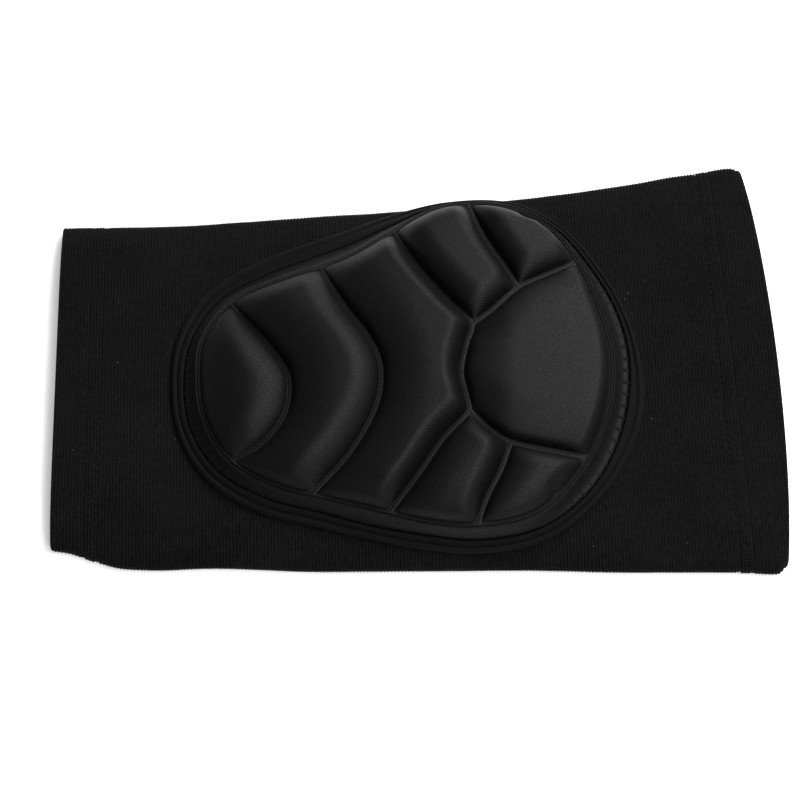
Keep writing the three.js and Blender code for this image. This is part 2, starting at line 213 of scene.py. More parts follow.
def padPolar(x, y):
    # the way back from the plan: reach in shares of the half sizes, and degrees round the pad
    dx, dy = x - pad["along"], y - pad["across"]
    c, s = math.cos(pad["turn"]), math.sin(pad["turn"])
    along = (dx * c + dy * s) / (pad["length"] / 2)
    across = (dy * c - dx * s) / (pad["width"] / 2)
    return np.hypot(along, across), np.degrees(np.arctan2(across, along))


def halfWidths(along):
    # half the calf width and the share that each fold has opened towards half the thigh width
    narrow = sleeve["calfWidth"] / 2
    opening = sleeve["thighWidth"] / 2 - narrow
    far = narrow + opening * smoothRows(sleeveOutline["along"], sleeveOutline["far"], along)
    near = narrow + opening * smoothRows(sleeveOutline["along"], sleeveOutline["near"], along)
    return far, near


def layerHeight(x, y):
    # the upper layer lies between the folds with a flat crown, and rises to the pad's seat:
    # lying + (domed - lying) * lift, where lift fades from the rim to the band's outer edge
    far, near = halfWidths(x / sleeve["length"] + 0.5)
    side = np.minimum(np.abs((2 * y - far + near) / (far + near)), 1)
    lying = sleeve["foldHeight"] + sleeve["crownHeight"] * (1 - side ** sleeve["crownPower"])
    reach, degrees = padPolar(x, y)
    rim = outlineShare("rim", degrees)
    edge = outlineShare("edge", degrees)
    domed = pad["rimSeat"] + pad["domeRise"] * np.maximum(1 - (reach / rim) ** 2, 0)
    lift = np.clip(1 - (reach - rim) / (edge - rim), 0, 1) ** pad["domeFade"]
    return lying + (domed - lying) * lift


def toMesh(name, points, quads, tris=None):
    # one mesh from arrays of points in millimetres, four-cornered and three-cornered faces;
    # the model's middle is half the thigh bow towards the calf end
    points = points - np.array([sleeve["thighBow"] / 2, 0, 0])
    tris = np.zeros((0, 3), int) if tris is None else tris
    corners = np.concatenate([quads.ravel(), tris.ravel()])
    starts = np.concatenate([np.arange(len(quads)) * 4, len(quads) * 4 + np.arange(len(tris)) * 3])
    mesh = bpy.data.meshes.new(name)
    mesh.vertices.add(len(points))
    mesh.vertices.foreach_set("co", (points * mm).astype(np.float32).ravel())
    mesh.loops.add(len(corners))
    mesh.loops.foreach_set("vertex_index", corners.astype(np.int32))
    mesh.polygons.add(len(starts))
    mesh.polygons.foreach_set("loop_start", starts.astype(np.int32))
    mesh.polygons.foreach_set("use_smooth", np.full(len(starts), True))
    mesh.update(calc_edges=True)
    mesh.validate()
    piece = bpy.data.objects.new(name, mesh)
    bpy.context.scene.collection.objects.link(piece)
    return piece


def gridFaces(rows, columns, closeRows, closeColumns):
    # four corners of every cell of a grid whose points follow each other row by row
    r = np.arange(rows if closeRows else rows - 1)[:, None]
    c = np.arange(columns if closeColumns else columns - 1)[None, :]
    nextRow = (r + 1) % rows
    nextColumn = (c + 1) % columns
    faces = [r * columns + c, nextRow * columns + c, nextRow * columns + nextColumn,
             r * columns + nextColumn]
    return np.stack([np.broadcast_to(f, (len(r), c.size)) for f in faces], -1).reshape(-1, 4)


def gridNormals(points):
    # unit normals of a grid of points, from the differences between neighbours
    down = np.gradient(points, axis=0)
    across = np.roll(points, -1, 1) - np.roll(points, 1, 1)
    normal = np.cross(down, across)
    return normal / np.maximum(np.linalg.norm(normal, axis=-1, keepdims=True), 1e-9)


def softNoise(x, y, size, seed):
    # sum of seven sine waves in random directions, over 4: a smooth field, mostly from -1 to 1
    draw = np.random.default_rng(seed)
    total = 0
    for _ in range(7):
        angle, shift = draw.uniform(0, 2 * np.pi), draw.uniform(0, 2 * np.pi)
        scale = draw.uniform(.6, 1.6)
        reach = x * np.cos(angle) + y * np.sin(angle)
        total = total + np.sin(reach * 2 * np.pi * scale / size + shift)
    return total / 4


def sleeveLoops(along, wall):
    # loops round the tube: over the upper layer from the far fold to the near one, a half
    # ellipse down, back under, and a half ellipse up. wall is the depth inside the outer face.
    far, near = (w[:, None] for w in halfWidths(along))
    wall = wall[:, None]
    middle, half = (far - near) / 2, (far + near) / 2
    radius = sleeve["foldHeight"] / 2
    straight = half - radius
    along = along[:, None]

    def top(y):
        return layerHeight(sleeve["length"] * (along - .5), y) - wall

    t = np.linspace(0, 1, sleeve["topColumns"] + 1)[None, :]
    yTop = middle + straight * (np.cos(np.pi * t) * .35 + (1 - 2 * t) * .65)
    angle = (np.pi * np.arange(1, sleeve["foldColumns"]) / sleeve["foldColumns"])[None, :]
    yNear = middle - straight - (radius - wall) * np.sin(angle)
    rise = np.where(angle < np.pi / 2, top(yNear) - radius, radius - wall)
    zNear = radius + rise * np.cos(angle)
    t = np.linspace(-1, 1, sleeve["baseColumns"] + 1)[None, :]
    yBase = middle + straight * t
    yFar = middle + straight + (radius - wall) * np.sin(angle)
    rise = np.where(angle > np.pi / 2, top(yFar) - radius, radius - wall)
    zFar = radius - rise * np.cos(angle)
    y = np.concatenate([yTop, yNear, yBase, yFar], 1)
    z = np.concatenate([top(yTop), zNear, np.broadcast_to(wall, yBase.shape), zFar], 1)
    side = (y - middle) / half
    x = sleeve["length"] * (along - .5) + sleeve["thighBow"] * ease((along - .6) / .4) * (1 - side ** 2)
    return np.stack([x, y, z], -1)


def makeKneeSleeve():
    # outer face with a rib every ribPitch, pressed in by ribDepth * (1 - cos) / 2 between crests,
    # sewn lines at the hems, a rounded edge at each end, and a plain inner face
    length, hem = sleeve["length"], sleeve["hemWall"]
    edge = sleeve["endReach"]
    rows = int(length / sleeve["ribPitch"] * sleeve["rowsPerRib"])
    along = np.linspace(edge / length, 1 - edge / length, rows)
    outer = sleeveLoops(along, np.zeros(rows))
    normal = gridNormals(outer)
    normal = normal * np.sign(normal[rows // 2, sleeve["topColumns"] // 2, 2])
    x, y = outer[..., 0], outer[..., 1]
    wander = sum(part * softNoise(x, y, size, seed) for part, size, seed in sleeve["ribWander"])
    rib = (1 - np.cos(2 * np.pi * (x + wander) / sleeve["ribPitch"])) / 2
    uneven, size, seed = sleeve["ribUneven"]
    press = sleeve["ribDepth"] * rib * (0.85 + uneven * softNoise(x, y, size, seed))
    side = 2 * y / sleeve["thighWidth"]
    fromThigh = (1 - along)[:, None] * length - sleeve["seamBow"] * (1 - np.minimum(side ** 2, 1))
    for fromEnd, seams in ((along[:, None] * length, sleeve["calfSeams"]),
                           (fromThigh, sleeve["thighSeams"])):
        for place in seams:
            share = np.exp(-((fromEnd - place) / sleeve["seamWidth"]) ** 2)
            press = press + sleeve["seamDepth"] * share
        press = press - sleeve["hemRaise"] * ease((seams[0] - fromEnd) / sleeve["hemStep"])
    # creases fade towards their ends: depth * sin(pi t) * exp(-(gap / width) ** 2)
    for x0, y0, x1, y1, depth, width in creases:
        reach = math.hypot(x1 - x0, y1 - y0)
        t = ((x - x0) * (x1 - x0) + (y - y0) * (y1 - y0)) / reach ** 2
        gap = ((y - y0) * (x1 - x0) - (x - x0) * (y1 - y0)) / reach + 1.2 * np.sin(5 * t)
        fold = depth * np.sin(np.pi * np.clip(t, 0, 1)) ** .7 * np.exp(-(gap / width) ** 2)
        press = press + fold * (outer[..., 2] > 5)
    slack, size, seed = sleeve["slack"]
    press = press + slack * (1 + softNoise(x, y, size, seed)) * (outer[..., 2] > 3)
    outer = outer - normal * press[..., None]
    # rounded ends and the inner face
    turn = np.array([.2, .4, .6, .8]) * np.pi
    depth = hem * (1 - np.cos(turn)) / 2
    bulge = edge * np.sin(turn)
    standOut = np.array([1, 0, 0]) * bulge[:, None, None]
    calfEnd = sleeveLoops(np.full(4, edge / length), depth) - standOut
    thighEnd = sleeveLoops(np.full(4, 1 - edge / length), depth) + standOut
    innerAlong = np.linspace(edge / length, 1 - edge / length, sleeve["innerRows"])
    hemShare = ease((sleeve["hemLength"] + 1 - np.minimum(innerAlong, 1 - innerAlong) * length) / 1.5)
    inner = sleeveLoops(innerAlong, sleeve["wall"] + (hem - sleeve["wall"]) * hemShare)
    loops = np.concatenate([outer, thighEnd, inner[::-1], calfEnd[::-1]])
    loops[..., 2] = np.maximum(loops[..., 2], 0)
    faces = gridFaces(loops.shape[0], loops.shape[1], True, True)
    piece = toMesh("kneeSleeve", loops.reshape(-1, 3), faces[:, ::-1])
    # the rib valleys go to the knit finish, which darkens them as painted shade
    valley = np.zeros(loops.shape[:2])
    valley[:rows] = rib
    piece.data.attributes.new("valley", "FLOAT", "POINT").data.foreach_set("value", valley.ravel())
    print("kneeSleeve:", len(faces), "faces")
    return piece


def gradedShares(count):
    # from 0 to 1, with steps a quarter as long near both ends: t - .74 * sin(2 pi t) / (2 pi)
    t = np.linspace(0, 1, count + 1)
    return t - 0.74 * np.sin(2 * np.pi * t) / (2 * np.pi)


def throughPoints(points, steps=60):
    # centripetal curve through the points: each stretch's cubic has knots spaced by the square
    # root of the distances between its four nearest points
    p = np.asarray(points, float)
    p = np.concatenate([[2 * p[0] - p[1]], p, [2 * p[-1] - p[-2]]])
    a, b, c, d = p[:-3], p[1:-2], p[2:-1], p[3:]
    knot = np.sqrt(np.maximum(np.linalg.norm(np.diff(p, axis=0), axis=1), 1e-6))
    k0, k1, k2 = knot[:-2, None], knot[1:-1, None], knot[2:, None]
    slopeB = ((b - a) / k0 - (c - a) / (k0 + k1) + (c - b) / k1) * k1
    slopeC = ((c - b) / k1 - (d - b) / (k1 + k2) + (d - c) / k2) * k1
    t = np.linspace(0, 1, steps + 1)[None, :, None]
    line = (b[:, None] * (1 + 2 * t) * (1 - t) ** 2 + c[:, None] * t * t * (3 - 2 * t)
            + slopeB[:, None] * t * (1 - t) ** 2 - slopeC[:, None] * t * t * (1 - t))
    return line


def lengthAlong(line):
    # how far along a line each of its points lies: the running sum of its steps
    return np.concatenate([[0], np.cumsum(np.linalg.norm(np.diff(line, axis=0), axis=1))])


def cutLine(points, cuts, counts):
    # the curve through the points, cut at some of them, each part with its own count of steps
    line = throughPoints(points)
    stops = [0, *cuts, len(points) - 1]
    parts = []
    for first, last, count in zip(stops[:-1], stops[1:], counts):
        dense = np.concatenate([line[first:last, :-1].reshape(-1, 2), line[last - 1, -1:]])
        reach = lengthAlong(dense)
        place = gradedShares(count) * reach[-1]
        parts.append(np.stack([np.interp(place, reach, dense[:, n]) for n in (0, 1)], -1))
    return parts


def sharePlace(column, degrees, out=0.0, inset=1.0):
    # a line of the pad outline in plan, drawn in by a share and moved outwards by millimetres,
    # square to its own direction
    def at(angle):
        reach = outlineShare(column, angle) * inset
        turn = np.radians(angle)
        return padPlace(np.stack([reach * np.cos(turn), reach * np.sin(turn)], -1))
    way = at(degrees + 0.4) - at(degrees - 0.4)
    way = way / np.linalg.norm(way, axis=-1, keepdims=True)
    outwards = np.stack([way[..., 1], -way[..., 0]], -1)
    return at(degrees) + outwards * np.asarray(out)[..., None]


def rimPlace(degrees, out=0.0):
    # the middle line of the first ridge round the field
    return sharePlace("rim", degrees, out, pad["rimInset"])


def evenAngles(column, count, start):
    # angles round the pad that lie evenly along a line of the outline
    dense = np.linspace(start, start + 360, 2881)
    line = sharePlace(column, dense)
    reach = lengthAlong(line)
    place = np.linspace(0, reach[-1], count, endpoint=False)
    return np.interp(place, reach, dense), place, reach[-1]


def sideDistance(points, side, soften=False):
    # shortest distance from each point to a line of short straight steps. Softened, it passes
    # between 1.5 and 5.5 mm out into 1.033 * (sum of step length * distance ** -6) ** (-1 / 5),
    # which has no crease inside a bend
    a, b = side[:-1], side[1:]
    way = b - a
    size = np.maximum((way ** 2).sum(-1), 1e-12)
    fromStart = points.reshape(-1, 1, 2) - a[None]
    t = np.clip((fromStart * way[None]).sum(-1) / size, 0, 1)
    gaps = np.linalg.norm(fromStart - t[..., None] * way[None], axis=-1)
    least = gaps.min(1)
    if soften:
        soft = 1.033 * (np.maximum(gaps, .05) ** -6 * np.sqrt(size)).sum(1) ** -.2
        least = least + (soft - least) * ease((least - 1.5) / 4)
    return least.reshape(points.shape[:-1])


def fillSides(calf, thigh, far, near):
    # surface between four sides: the sum of the two ruled surfaces less the one between the
    # corners, with rows running from the far side to the near one
    v = gradedShares(len(calf) - 1)[:, None, None]
    w = gradedShares(len(far) - 1)[None, :, None]
    across = calf[:, None] * (1 - w) + thigh[:, None] * w
    down = far[None] * (1 - v) + near[None] * v
    corners = ((far[0] * (1 - w) + far[-1] * w) * (1 - v)
               + (near[0] * (1 - w) + near[-1] * w) * v)
    grid = across + down - corners
    grid[:, 0], grid[:, -1] = calf, thigh
    grid[0], grid[-1] = far, near
    return grid


def cellRise(grid, sides, radii, feet, lift):
    # height of a cell's swell: the full height times a share for each side. A share is a parabola
    # of the distance, 1 - (1 - distance / radius) ** 2, after a short steep foot. Lines that make
    # up one side count by the soft least of their distances.
    swell = np.full(grid.shape[:2], pad["cellHeight"] * lift)
    least = np.full(grid.shape[:2], 1e9)
    for lines, radius, foot in zip(sides, radii, feet):
        gaps = np.stack([sideDistance(grid, line, soften=True) for line in lines]) - pad["floorHalf"]
        least = np.minimum(least, gaps.min(0))
        gap = (np.maximum(gaps, .01) ** -6).sum(0) ** (-1 / 6)
        bow = 1 - (1 - np.minimum(gap / radius, 1)) ** 2
        swell = swell * (foot * (1 - np.exp(-gap / pad["footReach"])) + (1 - foot) * bow)
    return np.where(least > 0, swell, 0)


def floorRise(grid, grooves, rim):
    # the groove floors are slightly convex strips, and the rim line is the crest of a thin ridge
    rise = np.zeros(grid.shape[:2])
    for lines, half, height in ((grooves, pad["floorHalf"], pad["floorCrown"]),
                                ([rim], pad["ridgeHalf"], pad["ridgeHeight"])):
        for line in lines:
            low, high = line.min(0) - half, line.max(0) + half
            near = ((grid > low) & (grid < high)).all(-1)
            if near.any():
                gap = np.minimum(sideDistance(grid[near], line) / half, 1)
                rise[near] = np.maximum(rise[near], height * (1 - gap ** 2))
    return rise


def makeKneePad():
    # a grid for each cell, the ridges, the flange and the underside, joined along shared lines.
    # Steps along each stretch of groove or rim: stretches that face each other have as many
    steps = {"far": 60, "middle": 76, "near": 64, "lens": 46, "chevron": 56, "block": 60,
             "wedge": 46, "corner": 46}
    steps["whole"] = steps["far"] + steps["middle"] + steps["near"]
    names = list(rimStops)
    arcSteps = [steps[name] for name in ("far", "corner", "wedge", "block", "chevron", "whole",
                                         "chevron", "block", "wedge", "corner", "near", "middle")]
    arcs = {}
    rimAngles = []
    for k, name in enumerate(names):
        first = rimStops[name]
        last = rimStops[names[(k + 1) % len(names)]] + (360 if k == len(names) - 1 else 0)
        dense = np.linspace(first, last, 200)
        line = rimPlace(dense)
        reach = lengthAlong(line)
        angles = np.interp(gradedShares(arcSteps[k]) * reach[-1], reach, dense)
        rimAngles.append(angles[:-1])
        arcs[name] = angles
    ends = {name: rimPlace(np.array(angle)) for name, angle in rimStops.items()}
    arc = {name: rimPlace(angles) for name, angles in arcs.items()}
    for k, name in enumerate(names):                 # shared ends are the same numbers
        arc[name][0], arc[name][-1] = ends[name], ends[names[(k + 1) % len(names)]]

    # grooves, from the far side to the near one or from the calf side to the thigh side
    def inPlan(points):                              # from shares, unless a point is in plan
        return [p if isinstance(p, np.ndarray) else padPlace(np.array(p)) for p in points]

    capFarPoint, capNearPoint = (.329, .171), (.272, -.340)
    wedgeFarPoint, wedgeNearPoint = (.574, .393), (.455, -.532)
    lens, = cutLine(inPlan([ends["lensFar"], (-.733, .290), (-.634, .122), (-.564, -.041),
                            (-.562, -.161), (-.597, -.289), (-.708, -.427), ends["lensNear"]]),
                    [], [steps["whole"]])
    chevron, = cutLine(inPlan([ends["chevronFar"], (-.262, .334), (-.180, .165), (-.129, .012),
                               (-.124, -.126), (-.162, -.286), (-.300, -.526), ends["chevronNear"]]),
                       [], [steps["whole"]])
    blockFar, capCalf, blockNear = cutLine(
        inPlan([ends["blockFar"], (.107, .546), (.236, .319), capFarPoint, (.295, .050), (.257, -.117),
                (.270, -.259), capNearPoint, (.147, -.484), (.007, -.683), ends["blockNear"]]),
        [3, 7], [steps["far"], steps["middle"], steps["near"]])
    wedgeFar, = cutLine(inPlan([ends["wedgeFar"], (.442, .732), (.534, .508), wedgeFarPoint]),
                        [], [steps["far"]])
    wedgeNear, = cutLine(inPlan([wedgeNearPoint, (.399, -.677), (.316, -.835), ends["wedgeNear"]]),
                         [], [steps["near"]])
    capFar = cutLine(inPlan([capFarPoint, (.422, .244), wedgeFarPoint, (.713, .471),
                             ends["capFar"]]), [2], [steps["wedge"], steps["corner"]])
    capNear = cutLine(inPlan([capNearPoint, (.383, -.477), wedgeNearPoint, (.680, -.602),
                              ends["capNear"]]), [2], [steps["wedge"], steps["corner"]])
    middle = np.concatenate([blockFar, capCalf[1:], blockNear[1:]])
    capFarWhole = np.concatenate([capFar[0], capFar[1][1:]])
    capNearWhole = np.concatenate([capNear[0], capNear[1][1:]])
    lensTip = [np.repeat(ends[n][None], steps["lens"] + 1, 0) for n in ("lensFar", "lensNear")]

    # each cell between its calf, thigh, far and near sides, with its share of the full height,
    # the radii over which it rises from those sides and the shares that their feet take
    cells = [
        (arc["lensFar"], lens, lensTip[0], lensTip[1], 1.0, (17, 13, 5, 5), (.34, .12, .2, .2)),
        (lens, chevron, arc["chevronFar"][::-1], arc["lensNear"], 1.0, (18, 11, 11, 13),
         (.34, .12, .26, .45)),
        (chevron, middle, arc["blockFar"][::-1], arc["chevronNear"], 1.05, (19, 7, 11, 13),
         (.34, .12, .26, .45)),
        (blockFar, wedgeFar, arc["wedgeFar"][::-1], capFar[0], .97, (10, 7, 9, 8), (.34, .12, .26, .3)),
        (wedgeFar, arc["capFar"][::-1], arc["farCorner"][::-1], capFar[1], .9, (9, 5, 8, 8),
         (.34, .15, .26, .3)),
        (capCalf, arc["capNear"][::-1], capFarWhole, capNearWhole, .92, (18, 4.2, 15, 16),
         (.34, .2, .35, .5)),
        (blockNear, wedgeNear, capNear[0], arc["blockNear"], .97, (13, 7.5, 8, 12),
         (.34, .12, .3, .45)),
        (wedgeNear, arc["nearCorner"][::-1], capNear[1], arc["wedgeNear"], .9, (13, 6, 8, 12),
         (.34, .15, .3, .45)),
    ]
    grooves = [lens, chevron, middle, wedgeFar, wedgeNear, capFarWhole, capNearWhole]
    rim = np.concatenate([arc[name][:-1] for name in names] + [arc[names[0]][:1]])
    plan, rise, quads, start = [], [], [], 0
    for calf, thigh, far, near, lift, radii, feet in cells:
        grid = fillSides(calf, thigh, far, near)
        thighLines = [blockFar, capCalf, blockNear] if thigh is middle else [thigh]
        swell = cellRise(grid, ([calf], thighLines, [far], [near]), radii, feet, lift)
        plan.append(grid.reshape(-1, 2))
        rise.append((swell + floorRise(grid, grooves, rim)).ravel())
        quads.append(gridFaces(grid.shape[0], grid.shape[1], False, False) + start)
        start += grid.shape[0] * grid.shape[1]
    plan, rise, quads = np.concatenate(plan), np.concatenate(rise), np.concatenate(quads)

    # ridges round the field
    floor = pad["floor"]
    angles = np.concatenate(rimAngles)
    ringPlan = [rimPlace(angles, np.full(len(angles), out)) for out, _ in ridges]
    ringRise = [np.full(len(angles), height) for _, height in ridges]
    count = len(angles)
    ringFaces = gridFaces(len(ridges), count, False, True) + start
    plan = np.concatenate([plan, *ringPlan])
    rise = np.concatenate([rise, *ringRise])
    lastRing = start + (len(ridges) - 1) * count
    start += len(ridges) * count

    # flange: rings of evenly spaced points, dished between the ridges and the seam
    stitches = flange["stitches"]
    even, along, around = evenAngles("seam", stitches * flange["stepsPerStitch"], rimStops["capFar"])
    inner = rimPlace(even, np.full(len(even), flange["start"]))
    seam = sharePlace("seam", even, np.full(len(even), -pad["gap"] / 2))
    t = np.array(flange["rings"])[:, None]
    flangePlan = inner[None] * (1 - t[..., None]) + seam[None] * t[..., None]
    width = np.linalg.norm(seam - inner, axis=-1)[None]
    fromSeam = (1 - t) * width
    # it drops beside the ridges, then swells between stitches into rounded puckers:
    # pucker * strength * (wave - .3), where wave = ((1 + cos) / 2) ** puckerPower round the seam
    drop = flange["startDrop"]
    steep, low = floor - flange["thickness"], flange["thickness"] - drop - flange["seamHeight"]
    dish = floor - drop - steep * (1 - (1 - t) ** flange["bend"]) - low * t
    wave = ((1 + np.cos(2 * np.pi * stitches * along / around))[None] / 2) ** flange["puckerPower"]
    fromDeepest = np.mod(even + 180, 360) - 180 - flange["puckerTurn"]
    strength = .3 + .7 * np.exp(-(fromDeepest / flange["puckerSpread"]) ** 2)
    turned = np.radians(even)
    noise = softNoise(np.cos(turned), np.sin(turned), .5, 21)
    strength = strength * (1 + flange["puckerUneven"] * noise)[None]
    pucker = flange["pucker"] * strength * (wave - .3) * np.exp(-((fromSeam - 1.0) / .8) ** 2)
    tuck = flange["tuck"] * np.exp(-(fromSeam / .3) ** 2)
    flangeRise = dish - pucker - tuck - floor
    plan = np.concatenate([plan, flangePlan.reshape(-1, 2)])
    rise = np.concatenate([rise, flangeRise.ravel()])
    flangeFaces = gridFaces(len(t), len(even), False, True) + start
    firstFlange, lastFlange = start, start + (len(t) - 1) * len(even)
    start += flangePlan.shape[0] * len(even)

    # underside: coarser rings from the seam to the middle
    coarse = even[::7]
    under = [seam[::7]] + [rimPlace(coarse, np.full(len(coarse), 0.0))]
    centre = padPlace(np.array([0.0, 0.0]))
    under += [centre + (under[1] - centre) * part for part in (.9, .75, .6, .45, .3, .15, .05)]
    underPlan = np.concatenate(under)
    plan = np.concatenate([plan, underPlan, centre[None]])
    lowRise = np.full(len(underPlan) + 1, .05 - floor)
    rise = np.concatenate([rise, lowRise])
    underFaces = gridFaces(len(under), len(coarse), False, True) + start
    firstUnder, lastUnder = start, start + (len(under) - 1) * len(coarse)
    middlePoint = start + len(underPlan)

    def stripBetween(a, startA, b, startB):
        # triangles between two rings whose points follow their angles: every step along one ring
        # makes a triangle with the point that the other has reached
        endA, endB = np.append(a[1:], a[0] + 360), np.append(b[1:], b[0] + 360)
        reachedB = np.searchsorted(endB, endA, side="right") % len(b)
        reachedA = np.searchsorted(endA, endB, side="left") % len(a)
        i, j = np.arange(len(a)), np.arange(len(b))
        first = np.stack([startA + i, startB + reachedB, startA + (i + 1) % len(a)], -1)
        second = np.stack([startB + j, startB + (j + 1) % len(b), startA + reachedA], -1)
        return np.concatenate([first, second])

    n = np.arange(len(coarse))
    fan = np.stack([lastUnder + n, np.full(len(n), middlePoint), lastUnder + (n + 1) % len(n)], -1)
    tris = np.concatenate([stripBetween(angles, lastRing, even, firstFlange),
                           stripBetween(even, lastFlange, coarse, firstUnder), fan])
    quads = np.concatenate([quads, ringFaces, flangeFaces, underFaces])

    # points that lie on one another, on the sides of neighbouring cells, become one
    height = layerHeight(plan[:, 0], plan[:, 1]) + pad["gap"] + floor + rise
    points = np.column_stack([plan, height])
    isUnder = rise < -floor + .2                     # the underside keeps its own points
    _, keep, place = np.unique(np.round(np.column_stack([plan, isUnder]), 4), axis=0,
                               return_index=True, return_inverse=True)
    place = place.ravel()
    points = points[keep]
    quads, tris = place[quads], place[tris]
    # cells whose side is a point leave faces with a doubled corner
    doubled = np.stack([quads[:, k] == quads[:, (k + 1) % 4] for k in range(4)], -1)
    plainQuads = quads[~doubled.any(1)]
    halves = quads[doubled.sum(1) == 1]
    which = doubled[doubled.sum(1) == 1].argmax(1)
    thirds = np.stack([halves[np.arange(len(halves)), (which + k) % 4] for k in (1, 2, 3)], -1)
    tris = np.concatenate([tris, thirds])
    piece = toMesh("kneePad", points, plainQuads, tris)
    print("kneePad:", len(plainQuads) * 2 + len(tris), "triangles")
    return piece


def makeEdgeBand():
    # knit band swept round the seam: its profile runs from the seam to the outer edge, with a
    # rolled bead, and back along the underside. Ribs cross it, pressed in between crests.
    ribs = band["ribs"]
    degrees, along, around = evenAngles("edge", ribs * band["stepsPerRib"], rimStops["capFar"])
    seam = sharePlace("seam", degrees, np.full(len(degrees), pad["gap"] / 2))
    edge = sharePlace("edge", degrees)
    width = np.linalg.norm(edge - seam, axis=-1)
    outwards = (edge - seam) / width[:, None]
    bead = np.minimum(band["beadWidth"], width * .52)
    flat = width - bead
    thick = band["thickness"]
    # distance out from the seam and height over the knit, for each profile point
    shape = [
        (flat * 0, thick * .55), (flat * .08, thick * .92), (flat * .3, thick * 1.0),
        (flat * .6, thick * .98), (flat * .85, thick * .88), (flat - .1, thick * .5),
        (flat + .15, thick * .5), (flat + bead * .22, band["beadHeight"] * .93),
        (flat + bead * .5, band["beadHeight"]), (flat + bead * .78, band["beadHeight"] * .84),
        (flat + bead * .97, band["beadHeight"] * .45), (flat + bead * .9, .2),
        (flat + bead * .4, .05), (flat * .5, .05), (flat * 0, .05),
    ]
    # how deep the ribs are there, in shares of ribDepth, and how far they lean, in shares of a rib
    ribbed = np.array([0, .6, 1, 1, 1, .8, .6, .7, .7, .7, .5, 0, 0, 0, 0])
    lean = np.array([0, 0, 0, 0, 0, 0, .1, .3, .5, .7, .9, .9, 0, 0, 0])
    rings, valley = [], []
    for k, (out, height) in enumerate(shape):
        place = seam + outwards * np.asarray(out)[:, None]
        phase = 2 * np.pi * (ribs * along / around + lean[k])
        valley.append(ribbed[k] * (1 - np.cos(phase)) / 2)
        press = band["ribDepth"] * valley[-1]
        z = layerHeight(place[:, 0], place[:, 1]) + pad["gap"] + height - press
        rings.append(np.column_stack([place, z]))
    points = np.stack(rings)
    faces = gridFaces(len(shape), len(degrees), True, True)
    piece = toMesh("edgeBand", points.reshape(-1, 3), faces)
    # the rib valleys go to the band's yarn finish, which darkens them as painted shade
    piece.data.attributes.new("valley", "FLOAT", "POINT").data.foreach_set("value", np.ravel(valley))
    print("edgeBand:", len(faces) * 2, "triangles")
    return piece


def capsules(name, middles, ways, ups, size, rounds=6, rings=5):
    # many small rounded threads as one mesh: a unit sphere's grid, stretched along each stitch
    length, width, height = size
    lat = np.linspace(0, np.pi, rings)[1:-1]
    lon = np.arange(rounds) * 2 * np.pi / rounds
    ball = [np.array([[-1.0, 0, 0]])]
    for a in lat:
        ball.append(np.column_stack([np.full(rounds, -np.cos(a)), np.sin(a) * np.cos(lon),
                                     np.sin(a) * np.sin(lon)]))
    ball.append(np.array([[1.0, 0, 0]]))
    unit = np.concatenate(ball)
    unit[:, 0] = np.sign(unit[:, 0]) * np.abs(unit[:, 0]) ** .8
    sides = np.cross(ups, ways)
    points = (middles[:, None] + ways[:, None] * unit[None, :, :1] * length / 2
              + sides[:, None] * unit[None, :, 1:2] * width / 2
              + ups[:, None] * unit[None, :, 2:3] * height / 2)
    body = gridFaces(len(lat), rounds, False, True) + 1
    n = np.arange(rounds)
    last = 1 + (len(lat) - 1) * rounds
    tip = len(unit) - 1
    first = np.stack([np.zeros(rounds, int), 1 + n, 1 + (n + 1) % rounds], -1)
    final = np.stack([last + n, np.full(rounds, tip), last + (n + 1) % rounds], -1)
    caps = np.concatenate([first, final])[:, ::-1]
    shift = (np.arange(len(middles)) * len(unit))[:, None, None]
    quads = (body[None, :, ::-1] + shift).reshape(-1, 4)
    tris = (caps[None] + shift).reshape(-1, 3)
    return toMesh(name, points.reshape(-1, 3), quads, tris)


def makeFlangeStitches():
    # each stitch runs from the seam into the flange, at the bottom of the notch between two puckers
    count = flange["stitches"]
    degrees, _, _ = evenAngles("seam", count, rimStops["capFar"])

    def at(out):
        place = sharePlace("seam", degrees, np.full(count, out))
        height = layerHeight(place[:, 0], place[:, 1]) + pad["gap"] + flange["seamHeight"]
        return np.column_stack([place, height])

    middle = at(flange["stitchPlace"]) + np.array([0, 0, .05])
    way = at(-.2) - at(-1.3)
    way = way / np.linalg.norm(way, axis=1, keepdims=True)
    side = np.cross(way, np.array([0, 0, 1.0]))
    up = np.cross(side, way)
    up = up / np.linalg.norm(up, axis=1, keepdims=True)
    piece = capsules("flangeStitches", middle, way, up, flange["stitchSize"], rounds=8, rings=7)
    print("flangeStitches:", count)
    return piece


